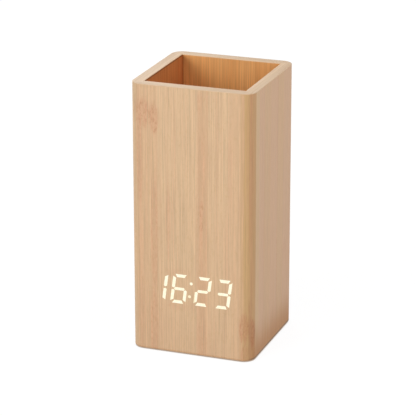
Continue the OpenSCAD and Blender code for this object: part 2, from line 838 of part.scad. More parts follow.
module rear_housing() {
    color(PLASTIC) difference() {
        union() {
            upright(seat_y, flange_t) flange_outline(0);
            block([-box_w / 2, bay_y - wall_t, bay_z0 - wall_t], [box_w / 2, seat_y, box_z1]);
            block([-box_w / 2, trough_y - wall_t, box_z0], [box_w / 2, seat_y, bay_z0]);
            for (x = control_boss) bar_y([x, control_y, control_z], boss_d, seat_y - control_y);
        }
        // the battery bay
        difference() {
            block([-bay_w / 2, bay_y, bay_z0], [bay_w / 2, back_y + cut, bay_z1]);
            cell_fences();
            hinge_bosses(boss_r);
        }
        // the recess that the door closes into
        difference() {
            block([-recess_w / 2, seat_y, hinge_z], [recess_w / 2, back_y + cut, recess_z1]);
            hinge_bosses(boss_r);
        }
        // the trough that the door's rolled edge turns in
        bar_x([-barrel_w / 2 - gap, hinge_y, hinge_z], 2 * (hinge_r + gap), barrel_w + 2 * gap);
        block(
            [-barrel_w / 2 - gap, trough_y, hinge_z],
            [barrel_w / 2 + gap, back_y + cut, bay_z0 + cut]
        );
        block(
            [-barrel_w / 2 - gap, hinge_y, trough_z],
            [barrel_w / 2 + gap, back_y + cut, hinge_z + cut]
        );
        // bores for the hinge pins
        bar_x(
            [-barrel_w / 2 - gap - pin_room, hinge_y, hinge_z], pin_d + 2 * slide_gap,
            barrel_w + 2 * (gap + pin_room)
        );
        // bores for the buttons
        for (x = button_x)
            bar_y([x, seat_y - cut, control_z], button_d + 2 * slide_gap, flange_t + 2 * cut);
        // the slot for the power socket
        upright(seat_y - cut, flange_t + 2 * cut) translate([port_x, control_z])
            rounded_rect(port_w + 2 * port_gap, port_h + 2 * port_gap, 2 * port_gap);
        // screw holes
        for (p = rear_holes)
            translate([p[0], back_y, p[1]]) rotate([90, 0, 0]) sunk_hole(REAR_SCREW, flange_t);
        for (x = control_boss)
            bar_y(
                [x, control_y - cut, control_z], SMALL_SCREW[2] + pilot_gap, bite[1] + pilot_end + cut
            );
        // slots for the tails of the end contacts
        for (s = [-1, 1]) tail_slot(s);
    }
}

// Where the hinge pins turn, at both ends of the trough
module hinge_bosses(r) {
    for (s = [0, 1]) mirror([s, 0, 0])
        bar_x([barrel_w / 2 + gap, hinge_y, hinge_z], 2 * r, box_w / 2 - barrel_w / 2);
}

module tail_slot(s) {
    z = cell_z(s > 0 ? 0 : 2);
    x = s * (bay_w - plate_t) / 2;
    half = tail_w / 2 + slide_gap;
    block(
        [x - plate_t / 2 - cut, bay_y - wall_t - cut, z - half],
        [x + plate_t / 2 + cut, bay_y + cut, z + half]
    );
}

module housing_screws() {
    color(METAL) for (p = rear_holes)
        translate([p[0], back_y, p[1]]) rotate([90, 0, 0]) sunk_screw(REAR_SCREW);
}

module battery_door() {
    color(PLASTIC) difference() {
        union() {
            difference() {
                block([-door_w / 2, back_y - door_t, hinge_z], [door_w / 2, back_y, door_z1]);
                translate([-gap, 0, 0]) hinge_bosses(boss_r + 2 * gap);
                translate([gap, 0, 0]) hinge_bosses(boss_r + 2 * gap);
            }
            bar_x([-barrel_w / 2, hinge_y, hinge_z], 2 * hinge_r, barrel_w);
            bar_x([-barrel_w / 2 - pin_l, hinge_y, hinge_z], pin_d, barrel_w + 2 * pin_l);
            for (x = rib_x)
                block(
                    [x - rib_w / 2, back_y - door_t - rib_h, cell_z(0) - 3],
                    [x + rib_w / 2, back_y - door_t + cut, cell_z(2)]
                );
            for (s = [-1, 1])
                translate([s * (door_w / 2), back_y - door_t, door_z1 - snap_in]) rotate([-90, 0, 0])
                    cylinder(r = gap * 0.7, h = door_t);
        }
        bar_y([0, back_y - door_t - cut, door_z1], 2 * notch_r, door_t + 2 * cut);
    }
}

// A cell along +X with its middle at the origin, the raised end at +X
module cell() {
    tip = [3.8, 0.8];
    ring = [1.6, 5, 0.3];
    rotate([0, 90, 0]) translate([0, 0, -cell_l / 2]) {
        difference() {
            cylinder(d = cell_d, h = cell_l - tip[1]);
            translate([0, 0, cell_l - tip[1] - ring[2]]) difference() {
                cylinder(d = cell_d - ring[0], h = 1);
                translate([0, 0, -1]) cylinder(d = cell_d - ring[1], h = 3);
            }
        }
        cylinder(d = tip[0], h = cell_l);
    }
}

// The cells lie head to tail, each between its spring and its plate
module battery_cells() {
    shift = (spring_l - dimple_t) / 2;
    color([0.20, 0.42, 0.62]) for (i = [0:2])
        translate([i % 2 == 0 ? shift : -shift, cell_y, cell_z(i)]) rotate(i % 2 == 0 ? 0 : 180) cell();
}

// A contact spring: a cone of turns from the plate, at the origin, along +Z to the cell
turns = 3.5;
rings = 8;                               // of points, in each turn
spring_r = [2.9, 1.6];                   // radius at the plate and at the cell
function coil_r(t) = spring_r[0] + (spring_r[1] - spring_r[0]) * t;
function coil_at(t) = [
    coil_r(t) * cos(360 * turns * t), coil_r(t) * sin(360 * turns * t),
    wire_d / 2 + (spring_l - wire_d) * t
];
coil_gap = min([
    for (t = [0:0.01:1 - 1 / turns], u = [-0.06:0.01:0.06])
        let (v = min(1, t + 1 / turns + u)) v - t > 0.6 / turns ? norm(coil_at(v) - coil_at(t)) : 9
]) - wire_d;
echo(least_gap_between_spring_turns = coil_gap);

module contact_spring() {
    steps = turns * rings;
    sides = 6;
    points = [
        for (i = [0:steps])
            let (
                a = 360 * turns * i / steps, c = coil_at(i / steps),
                out = [cos(a), sin(a), 0], up = [0, 0, 1]
            )
            for (k = [0:sides - 1]) c + wire_d / 2 * (cos(k * 60 + 90) * out + sin(k * 60 + 90) * up)
    ];
    skin = [
        for (i = [0:steps - 1], k = [0:sides - 1])
            let (n = (k + 1) % sides, p = i * sides, q = p + sides)
            each [[p + k, p + n, q + n], [p + k, q + n, q + k]]
    ];
    ends = [
        for (k = [1:sides - 2])
            each [[0, k + 1, k], [steps * sides, steps * sides + k, steps * sides + k + 1]]
    ];
    polyhedron(points, concat(skin, ends));
}

module battery_springs() {
    color(METAL) for (i = [0:2]) {
        side = i % 2 == 0 ? -1 : 1;
        translate([side * (bay_w / 2 - plate_t), cell_y, cell_z(i)])
            rotate([0, -side * 90, 0]) contact_spring();
    }
}

// A plate from cell a to cell b, at the end given by side, with a dimple under each raised cell end
module contact_plate(side, a, b) {
    x = side * (bay_w / 2 - plate_t / 2);
    block(
        [x - plate_t / 2, cell_y - plate_reach[0], cell_z(a) - plate_reach[1]],
        [x + plate_t / 2, cell_y + plate_reach[0], cell_z(b) + plate_reach[1]]
    );
    dimple_x = side * (bay_w / 2 - plate_t) - (1 + side) * dimple_t / 2;
    for (i = [a:b]) if ((i % 2 == 0 ? 1 : -1) == side)
        bar_x([dimple_x, cell_y, cell_z(i)], dimple_d, dimple_t);
    if (a == b)
        block(
            [x - plate_t / 2, tail_y, cell_z(a) - tail_w / 2],
            [x + plate_t / 2, cell_y, cell_z(a) + tail_w / 2]
        );
}

module contact_plates() {
    color(METAL) {
        contact_plate(1, 0, 0);
        contact_plate(-1, 0, 1);
        contact_plate(1, 1, 2);
        contact_plate(-1, 2, 2);
    }
}

// The controls

module control_board() {
    color(PCB) difference() {
        block(
            [-control_pcb_w / 2, control_y - pcb_t, control_z - control_pcb_h / 2],
            [control_pcb_w / 2, control_y, control_z + control_pcb_h / 2]
        );
        for (x = control_boss)
            bar_y(
                [x, control_y - pcb_t - cut, control_z], SMALL_SCREW[2] + 2 * shank_gap, pcb_t + 2 * cut
            );
    }
}

module control_screws() {
    color(METAL) for (x = control_boss)
        translate([x, control_y - pcb_t - SMALL_SCREW[1], control_z]) rotate([-90, 0, 0])
            pan_screw(SMALL_SCREW);
}

module switch_bodies() {
    color(BLACK) for (x = button_x) difference() {
        block(
            [x - switch_w / 2, control_y, control_z - switch_w / 2],
            [x + switch_w / 2, switch_y, control_z + switch_w / 2]
        );
        bar_y(
            [x, switch_y - plunger_l, control_z], plunger_d + 2 * slide_gap, plunger_l + cut
        );
    }
}

// A cap with a domed face, a shank through the flange and a collar behind it
module button(x) {
    color(WHITE) translate([x, cap_y, control_z]) rotate([90, 0, 0]) rotate_extrude() {
        translate([0, cap_edge]) square([button_d / 2, cap_l - cap_edge]);
        square([button_d / 2 - cap_edge, 2 * cap_edge]);
        translate([button_d / 2 - cap_edge, cap_edge]) circle(cap_edge);
        translate([0, cap_y - collar_y]) square([button_d / 2 + collar_w, collar_t]);
    }
}

module plunger(x) {
    color(METAL) bar_y([x, cap_y - cap_l - plunger_l, control_z], plunger_d, plunger_l);
}

module set_button() { button(button_x[0]); }
module up_button() { button(button_x[1]); }
module down_button() { button(button_x[2]); }
module set_plunger() { plunger(button_x[0]); }
module up_plunger() { plunger(button_x[1]); }
module down_plunger() { plunger(button_x[2]); }

// The power socket: a bevelled metal mouth round a thin tongue
module port_outline(inset) {
    w = port_w / 2 - inset;
    h = port_h / 2 - inset;
    corner = [0.9, 0.8];
    polygon([
        [-w, h], [w, h], [w, corner[1] - h], [w - corner[0], -h], [corner[0] - w, -h], [-w, corner[1] - h]
    ]);
}

module port_shell() {
    color(METAL) translate([port_x, 0, control_z]) difference() {
        upright(control_y, back_y - port_sink - control_y) port_outline(0);
        upright(control_y + port_back, body_d) port_outline(port_wall);
    }
}

module port_tongue() {
    color(BLACK) block(
        [port_x - port_w / 2 + tongue[0], control_y + port_back, control_z - 0.1],
        [port_x + port_w / 2 - tongue[0], back_y - port_sink - tongue[2], control_z - 0.1 + tongue[1]]
    );
}

front_panel();
back_panel();
left_panel();
right_panel();
outer_film();
cup_lining();
cup_floor();
corner_blocks();
base_plate();
base_screws();
foot_pads();
display_housing();
display_fillings();
lit_segments();
light_chips();
display_pins();
main_board();
board_spacers();
board_screws();
clock_chip();
driver_chips();
crystal_can();
buzzer();
capacitor();
chip_resistors();
chip_capacitors();
steering_diode();
battery_socket();
battery_plug();
ribbon_sockets();
ribbon_cable();
rear_housing();
housing_screws();
control_board();
control_screws();
switch_bodies();
set_button();
up_button();
down_button();
set_plunger();
up_plunger();
down_plunger();
port_shell();
port_tongue();
battery_door();
battery_cells();
battery_springs();
contact_plates();
positive_lead();
negative_lead();
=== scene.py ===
"""Looks of the pen holder clock: bamboo film, lit digits, moulded rear housing, and a pale studio."""
import json
import math
import bmesh
import bpy
from mathutils import Matrix, Vector


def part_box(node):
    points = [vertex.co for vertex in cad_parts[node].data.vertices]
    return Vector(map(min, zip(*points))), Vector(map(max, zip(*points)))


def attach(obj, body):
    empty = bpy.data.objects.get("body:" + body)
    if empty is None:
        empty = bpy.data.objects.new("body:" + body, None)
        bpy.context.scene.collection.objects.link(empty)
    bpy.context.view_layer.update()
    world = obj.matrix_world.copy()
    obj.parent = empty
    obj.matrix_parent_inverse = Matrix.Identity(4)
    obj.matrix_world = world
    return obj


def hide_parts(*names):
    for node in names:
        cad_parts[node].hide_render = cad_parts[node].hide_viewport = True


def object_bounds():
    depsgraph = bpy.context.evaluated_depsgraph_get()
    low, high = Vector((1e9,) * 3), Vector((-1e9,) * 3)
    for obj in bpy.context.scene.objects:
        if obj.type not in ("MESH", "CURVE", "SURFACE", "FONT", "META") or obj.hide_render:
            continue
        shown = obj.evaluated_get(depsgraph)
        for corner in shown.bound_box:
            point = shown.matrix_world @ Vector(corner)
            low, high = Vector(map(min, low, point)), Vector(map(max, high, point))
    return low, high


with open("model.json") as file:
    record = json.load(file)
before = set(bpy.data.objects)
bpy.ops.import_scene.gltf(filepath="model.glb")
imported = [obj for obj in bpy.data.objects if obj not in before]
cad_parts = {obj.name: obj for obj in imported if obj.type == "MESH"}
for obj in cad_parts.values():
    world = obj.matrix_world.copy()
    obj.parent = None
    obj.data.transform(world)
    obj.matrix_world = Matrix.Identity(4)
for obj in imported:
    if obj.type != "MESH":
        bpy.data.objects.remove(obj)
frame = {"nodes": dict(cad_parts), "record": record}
cad_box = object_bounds()

MM = 0.001
CASE_TOP = cad_box[1].z / MM             # height of the rim; the patterns below are in mm

# Colours, linear
BAMBOO_PALE = (0.680, 0.470, 0.284)
BAMBOO_MIDDLE = (0.665, 0.446, 0.266)
BAMBOO_STRAW = (0.666, 0.468, 0.272)
BAMBOO_ROSE = (0.672, 0.446, 0.284)
BAMBOO_TAN = (0.630, 0.405, 0.225)
BAMBOO_TOFFEE = (0.535, 0.312, 0.150)
BAMBOO_OLIVE = (0.565, 0.362, 0.172)
BAMBOO_AMBER = (0.580, 0.350, 0.175)
BAMBOO_RUDDY = (0.645, 0.385, 0.235)
# the next two: the dark of the film's back seam and of the painted shade at its foot, then the painted
# shadow line under the right side
BAMBOO_SEAM_AND_FOOT_SHADE = (0.500, 0.250, 0.105)
BAMBOO_FOOT_SHADOW = (0.230, 0.150, 0.085)
STAIN = (0.880, 0.660, 0.660)            # what a knot or a ruddy streak does to the strip under it
BURN = (0.780, 0.700, 0.620)             # and what the short dark fibres in a knot do
RIM_PALE = (0.748, 0.548, 0.356)
RIM_FIBRE = (0.660, 0.449, 0.268)
LINING_LIGHT = (0.690, 0.360, 0.130)
LINING_DARK = (0.600, 0.270, 0.080)
LINING_SHADE = (0.430, 0.130, 0.032)
# the next: a painted shadow under the rim of the cup's left board
LINING_RIM_SHADOW = (0.190, 0.060, 0.014)
BOARD_BROWN = (0.420, 0.290, 0.180)
BOARD_DARK = (0.300, 0.195, 0.115)
BOARD_FLECK = (0.620, 0.470, 0.320)
CREAM_HOT = (1.0, 0.965, 0.780)
CREAM_EDGE = (1.0, 0.920, 0.660)
CREAM_WEAK = (0.930, 0.810, 0.540)       # of the colon's lower dot
GLOW = 0.93                              # strength of the digits' light
UNLIT = (0.090, 0.080, 0.055)            # what the bars would be without it
MASK = (0.014, 0.110, 0.045)
MASK_PALE = (0.022, 0.150, 0.065)
TRACK = (0.050, 0.260, 0.110)
SLEEVE_BLUE = (0.030, 0.120, 0.290)
SLEEVE_GREY = (0.420, 0.420, 0.400)
SLEEVE_LINE = (0.800, 0.800, 0.780)
CELL_STEEL = (0.620, 0.620, 0.600)
WHITE = (1.0, 1.0, 1.0)
DAYLIGHT = (1.0, 0.990, 0.985)           # what the walls of the studio throw back
FLOOR_GREY = (0.340, 0.340, 0.340)       # of the floor, in the light that it throws on the object
FLOOR_SHADE = (0.120, 0.120, 0.120)      # in how it takes the object's shadow
CONTACT_SHADOW_BROWN = (1.0, 0.740, 0.550)        # and in the painted shadow along the line where the object stands

# The strips of the bamboo print round the walls, by the mm at which each begins, counted from the
# near corner: below 0 on the front, above 0 on the right. The darker strips round the near corner,
# from -8 to 5.6, are partly print and partly painted shade
STRIPS = [
    (-74.0, BAMBOO_PALE), (-69.6, BAMBOO_MIDDLE), (-57.5, BAMBOO_PALE), (-33.0, BAMBOO_MIDDLE),
    (-27.2, BAMBOO_PALE), (-12.6, BAMBOO_MIDDLE), (-8.0, BAMBOO_TAN), (-5.4, BAMBOO_OLIVE),
    (-1.8, BAMBOO_TOFFEE), (1.6, BAMBOO_AMBER), (5.6, BAMBOO_STRAW), (11.0, BAMBOO_ROSE),
    (20.0, BAMBOO_MIDDLE), (31.0, BAMBOO_ROSE), (43.5, BAMBOO_MIDDLE), (54.0, BAMBOO_ROSE),
]
STRIP_SPAN = 160.0                       # mm that their ramp covers, with the corner in the middle

# Ruddy marks in the print: mm round the walls, height, half width, half height and strength
MARKS_FRONT = [
    (-65.8, 144.0, 5.6, 11.0, 0.70), (-59.0, 141.5, 4.0, 11.0, 0.70), (-67.6, 120.0, 2.4, 42.0, 0.45),
    (-67.0, 40.0, 2.8, 60.0, 0.25), (-59.0, 72.0, 3.0, 46.0, 0.50), (-59.4, 16.0, 3.2, 34.0, 0.50),
    (-50.6, 80.0, 2.2, 28.0, 0.35), (-30.4, 80.0, 4.4, 90.0, 0.35), (-30.8, 85.0, 3.0, 16.0, 0.60),
    (-31.0, 66.0, 2.4, 34.0, 0.40), (-30.5, 12.0, 3.8, 24.0, 0.40), (-31.5, 152.0, 3.0, 8.0, 0.40),
    (-13.5, 112.0, 1.6, 36.0, 0.20), (-45.0, 50.0, 11.0, 3.0, 0.25), (-42.0, 30.0, 14.0, 2.4, 0.25),
    (-4.2, 21.0, 4.6, 11.0, 0.85), (2.6, 18.0, 4.8, 11.0, 0.90), (-4.0, 6.0, 3.8, 6.0, 0.50),
    (0.0, 130.0, 5.0, 50.0, 0.20), (57.0, 52.0, 6.0, 5.0, 0.20),
    (20.0, 80.0, 0.6, 200.0, 0.35), (43.5, 80.0, 0.7, 200.0, 0.45), (54.0, 80.0, 0.5, 200.0, 0.20),
    (-57.5, 80.0, 0.5, 200.0, 0.25), (-33.0, 80.0, 0.5, 200.0, 0.25), (-27.2, 80.0, 0.4, 200.0, 0.20),
]
MARKS_BACK = [
    (-44.0, 96.0, 6.0, 10.0, 0.60), (-16.0, 132.0, 5.0, 11.0, 0.50), (-60.0, 60.0, 2.4, 60.0, 0.50),
    (25.0, 104.0, 7.0, 12.0, 0.60), (52.0, 140.0, 5.0, 10.0, 0.50), (60.0, 70.0, 3.0, 60.0, 0.40),
    (12.0, 80.0, 2.0, 70.0, 0.40), (38.0, 90.0, 1.6, 60.0, 0.35),
]
FILM_SEAM = 66.6                         # where the film's two ends meet, on the back
LINING_STRIP = 9.6                       # width of a strip in the cup

# The rest, in mm
TRACK_STEPS = (1.27, 1.9)                # from one level copper track to the next, and upright ones
TRACK_HALF = 0.16                        # half a track's width, by its step
TRACK_RUNS = 0.14                        # how many chances a track has to end in a mm
DOT_HALF = 2.4                           # within this of the middle stands the colon,
DOT_SPLIT = 39.0                         # and below this height its lower dot
CELL_SHIFT = 2.05                        # from the bay's middle to a cell's, towards its raised end
CELL_BAND = 9.1                          # from a cell's middle to the pale band
CELL_BARE = 21.2                         # and to the bare ends
MARK_R = 0.95                            # of the marks on the keys
MARK_WIRE = 0.14
FILM_EDGE = 0.18                         # how much the edges of the film are softened
PLASTIC_EDGE = 0.2
SOFTENED_FROM = 0.6                      # radians between two faces, from which their edge is

# The studio, in metres and degrees. The camera was fitted to the outline in the photograph.
MIDDLE = Vector((0.0, 0.0, 0.080))       # of the object, where the camera and the lamps look
CAMERA_ROUND = 20.0                      # from the front towards the right
CAMERA_UP = 19.02
CAMERA_AWAY = 1.28585
CAMERA_LENS = 191.41                     # mm, for a sensor 36 mm wide
CAMERA_SHIFT = (-0.01221, -0.00793)
CONTACT_REACH = 0.003                    # how far from the object the painted brown contact shadow reaches
FLOOR_HALF = 3.0                         # half the floor's side
# Square soft boxes: name, place, side, power and colour
LAMPS = [
    ("key", (-1.05, -1.95, 0.80), 1.1, 34.0, (1.0, 0.990, 0.975)),
    ("fill", (1.45, -0.45, 0.80), 0.9, 12.6, (1.0, 0.965, 0.985)),
    ("behind", (-1.10, 1.70, 0.45), 0.8, 14.0, (1.0, 0.990, 0.975)),
]


# Node trees

def put(tree, kind, *inputs, **settings):
    """Adds a node, with its inputs given in order as values or as other nodes' sockets."""
    node = tree.nodes.new("ShaderNode" + kind)
    for name, value in settings.items():
        setattr(node, name, value)
    for socket, value in zip(node.inputs, inputs):
        feed(tree, socket, value)
    return node


def fill(tree, node, sockets):
    """Feeds a node's inputs by their names."""
    for name, value in sockets.items():
        feed(tree, node.inputs[name], value)


def feed(tree, socket, value):
    """Links a socket to another node's, or sets its value."""
    if isinstance(value, bpy.types.NodeSocket):
        tree.links.new(value, socket)
    elif isinstance(value, tuple) and len(value) == 3 and socket.type == "RGBA":
        socket.default_value = (*value, 1.0)
    elif value is not None:
        socket.default_value = value


def calc(tree, operation, *inputs):
    return put(tree, "Math", *inputs, operation=operation).outputs[0]


def times(tree, first, *others):
    for other in others:
        first = calc(tree, "MULTIPLY", first, other)
    return first


def plus(tree, first, other):
    return calc(tree, "ADD", first, other)


def minus(tree, first, other):
    return calc(tree, "SUBTRACT", first, other)


def absolute(tree, value):
    return calc(tree, "ABSOLUTE", value)


def ease(tree, value, low, high, out_low=0.0, out_high=1.0):
    """A smooth step from out_low to out_high as value goes from low to high."""
    return put(
        tree, "MapRange", value, low, high, out_low, out_high, interpolation_type="SMOOTHSTEP"
    ).outputs[0]


def tint(tree, amount, under, over, blend="MIX"):
    """The colour under, turning into the colour over as amount goes from 0 to 1."""
    node = put(tree, "Mix", data_type="RGBA", blend_type=blend)
    for place, value in ((0, amount), (6, under), (7, over)):
        feed(tree, node.inputs[place], value)
    return node.outputs[2]


def shaded(tree, colour, amount):
    """A colour made lighter or darker by a factor."""
    node = put(tree, "VectorMath", colour, operation="SCALE")
    tree.links.new(amount, node.inputs["Scale"])
    return node.outputs[0]


def grain(tree, place, scale, detail=3.0, roughness=0.55):
    """Noise from 0 to 1."""
    node = put(tree, "TexNoise", noise_dimensions="3D")
    fill(tree, node, {"Vector": place, "Scale": scale, "Detail": detail, "Roughness": roughness})
    return node.outputs[0]


def pick(tree, place):
    """A fixed random value from 0 to 1 for each whole place."""
    return put(tree, "TexWhiteNoise", place, noise_dimensions="3D").outputs[0]


def spot(tree, wall, across, up, half_width, half_height):
    """1 at a place on the wall, falling to 0 at half its width and half its height away."""
    node = put(tree, "Mapping", wall, vector_type="POINT")
    node.inputs["Location"].default_value = (-across / half_width, -up / half_height, 0.0)
    node.inputs["Scale"].default_value = (1 / half_width, 1 / half_height, 0.0)
    return put(tree, "TexGradient", node.outputs[0], gradient_type="SPHERICAL").outputs["Fac"]


def vector(tree, x, y, z):
    return put(tree, "CombineXYZ", x, y, z).outputs[0]


def millimetres(tree):
    """The place on the object in mm."""
    node = put(tree, "VectorMath", put(tree, "TexCoord").outputs["Object"], operation="SCALE")
    node.inputs["Scale"].default_value = 1 / MM
    return node.outputs[0]


def apart(tree, place):
    return put(tree, "SeparateXYZ", place).outputs


def blank(name):
    material = bpy.data.materials.new(name)
    material.use_nodes = True
    material.node_tree.nodes.clear()
    return material, material.node_tree


def finish(tree, colour, roughness, metallic=0.0, height=None, depth=0.0, more=None):
    """Ends a tree in its surface. height is a socket from 0 to 1, and depth its full relief in mm."""
    shader = put(tree, "BsdfPrincipled")
    fill(tree, shader, {"Base Color": colour, "Roughness": roughness, "Metallic": metallic})
    fill(tree, shader, more or {})
    if height is not None:
        ridge = put(tree, "Bump")
        fill(tree, ridge, {"Distance": depth * MM, "Height": height})
        fill(tree, shader, {"Normal": ridge.outputs[0]})
    put(tree, "OutputMaterial", shader.outputs[0])


# Wood

def walls(tree):
    """In mm: the way round from the near corner, the side (above 0 on the front and right), and z."""
    x, y, z = apart(tree, millimetres(tree))
    return plus(tree, x, y), minus(tree, x, y), z


def strip_tones(tree, around, thread):
    """The tones of the strips, each with a slightly ragged edge."""
    ragged = calc(tree, "MULTIPLY_ADD", thread, 1.4, plus(tree, around, -0.7))
    strips = put(tree, "ValToRGB", calc(tree, "MULTIPLY_ADD", ragged, 1 / STRIP_SPAN, 0.5))
    strips.color_ramp.interpolation = "CONSTANT"
    stops = strips.color_ramp.elements
    stops.remove(stops[1])
    stops[0].color = (*STRIPS[0][1], 1.0)
    for start, tone in STRIPS[1:]:
        stops.new(start / STRIP_SPAN + 0.5).color = (*tone, 1.0)
    return strips.outputs[0]


def marked(tree, marks, wall):
    """How ruddy the marks make each place on the wall."""
    ruddy = None
    for across, up, half_width, half_height, strength in marks:
        mark = spot(tree, wall, across, up, half_width, half_height)
        mark = ease(tree, mark, 0.0, 0.45, 0.0, strength)
        ruddy = mark if ruddy is None else calc(tree, "MAXIMUM", ruddy, mark)
    return ruddy


def rim_print(tree):
    """The paler print on the rim, which runs along each board and turns at the mitres, with painted
    light: lighter on the side boards and towards the inner edge.
    """
    x, y, _ = apart(tree, millimetres(tree))
    wide, deep = absolute(tree, x), absolute(tree, y)
    sideways = calc(tree, "GREATER_THAN", wide, deep)
    across = calc(tree, "MAXIMUM", wide, deep)
    along = put(tree, "Mix", sideways, data_type="FLOAT")
    feed(tree, along.inputs[2], x)
    feed(tree, along.inputs[3], y)
    drawn = vector(tree, across, times(tree, along.outputs[0], 0.02), times(tree, sideways, 9.0))
    rim = tint(tree, ease(tree, grain(tree, drawn, 1.1, 3.0), 0.35, 0.7), RIM_PALE, RIM_FIBRE)
    # painted light: a little lighter towards the inner edge and darker towards the outer, and a little
    # lighter on the side boards than on the front and back
    rim_edge_light = ease(tree, across, 35.5, 31.0, 0.97, 1.06)
    return shaded(tree, rim, times(tree, calc(tree, "MULTIPLY_ADD", sideways, 0.04, 0.955), rim_edge_light))


def bamboo_film():
    """Printed bamboo: upright strips with fibres and knots, and a paler print along the rim."""
    material, tree = blank("bamboo_film")
    around, side, z = walls(tree)
    drift = times(tree, side, 0.3)

    def fibre(slant, scale):
        return grain(tree, vector(tree, around, drift, times(tree, z, slant)), scale, 2.0, 0.6)

    thread, broad, blush = fibre(0.012, 1.7), fibre(0.022, 0.45), fibre(0.008, 0.8)
    fleck, speck, dashes = fibre(0.10, 1.3), fibre(0.30, 1.4), fibre(0.40, 1.0)
    patches = grain(tree, vector(tree, around, side, times(tree, z, 0.5)), 0.03)
    mossy = grain(tree, vector(tree, around, drift, times(tree, z, 0.12)), 0.35, 2.0)
    facing = ease(tree, side, -3.0, 3.0)
    away = minus(tree, 1.0, facing)
    right = times(tree, ease(tree, around, -4.0, 6.0), facing)

    # the strips, with more olive where they bend round the near corner, where the darker strips are
    # partly print and partly painted shade
    colour = strip_tones(tree, around, thread)
    bent = ease(tree, absolute(tree, plus(tree, around, 0.4)), 6.4, 4.0)
    mossy = times(tree, bent, ease(tree, mossy, 0.45, 0.65, 0.0, 0.7))
    colour = tint(tree, mossy, colour, BAMBOO_OLIVE)

    # a blush in places and a redder foot; painted shade that darkens the bottom edge and the lower
    # part of the right side, and a painted shadow line under the right side
    colour = tint(tree, ease(tree, blush, 0.45, 0.7, 0.0, 0.35), colour, BAMBOO_RUDDY)
    colour = tint(tree, ease(tree, patches, 0.5, 0.8, 0.0, 0.25), colour, BAMBOO_RUDDY)
    colour = tint(tree, ease(tree, z, 60.0, 0.0, 0.0, 0.12), colour, BAMBOO_RUDDY)
    low = calc(tree, "MULTIPLY_ADD", broad, 14.0, plus(tree, z, -7.0))
    colour = tint(tree, times(tree, ease(tree, low, 25.0, 0.0), right), colour, BAMBOO_SEAM_AND_FOOT_SHADE)
    colour = tint(tree, ease(tree, z, 2.0, 1.3, 0.0, 0.4), colour, BAMBOO_SEAM_AND_FOOT_SHADE)
    colour = tint(tree, times(tree, ease(tree, z, 2.3, 1.4, 0.0, 0.9), right), colour, BAMBOO_FOOT_SHADOW)

    # knots and ruddy streaks, torn along the fibres
    wall = vector(tree, around, calc(tree, "MULTIPLY_ADD", thread, 16.0, plus(tree, z, -8.0)), 0.0)
    torn = times(
        tree, ease(tree, speck, 0.4, 0.58, 0.5, 1.0), ease(tree, thread, 0.38, 0.6, 0.55, 1.0)
    )
    dark = ease(tree, dashes, 0.48, 0.60, 0.0, 0.55)
    for marks, here in ((MARKS_FRONT, facing), (MARKS_BACK, away)):
        ruddy = times(tree, marked(tree, marks, wall), here, torn)
        colour = tint(tree, ruddy, colour, STAIN, "MULTIPLY")
        colour = tint(tree, times(tree, ease(tree, ruddy, 0.25, 0.6), dark), colour, BURN, "MULTIPLY")

    # the grain, quieter on the right side, and painted shade that darkens the walls slightly towards
    # the bottom
    ochre = times(
        tree, ease(tree, dashes, 0.52, 0.68, 0.0, 0.22), ease(tree, right, 0.0, 1.0, 1.0, 0.3)
    )
    colour = tint(tree, ochre, colour, BAMBOO_OLIVE)
    lively = times(
        tree, ease(tree, broad, 0.35, 0.65, 0.10, 0.24), ease(tree, right, 0.0, 1.0, 1.0, 0.5)
    )
    streak = calc(tree, "MULTIPLY_ADD", ease(tree, thread, 0.3, 0.7, -0.55, 0.45), lively, 1.0)
    colour = shaded(tree, colour, times(
        tree, streak, ease(tree, fleck, 0.3, 0.7, 0.97, 1.03), ease(tree, z, 0.0, 45.0, 0.96, 1.0)
    ))

    colour = tint(tree, ease(tree, z, CASE_TOP - 0.5, CASE_TOP - 0.2), colour, rim_print(tree))
    seam = times(tree, ease(tree, absolute(tree, minus(tree, around, FILM_SEAM)), 0.16, 0.02), away)
    colour = tint(tree, seam, colour, BAMBOO_SEAM_AND_FOOT_SHADE)
    finish(
        tree, colour, ease(tree, thread, 0.2, 0.8, 0.5, 0.6),
        height=minus(tree, thread, seam), depth=0.03, more={"Specular IOR Level": 0.3}
    )
    return material


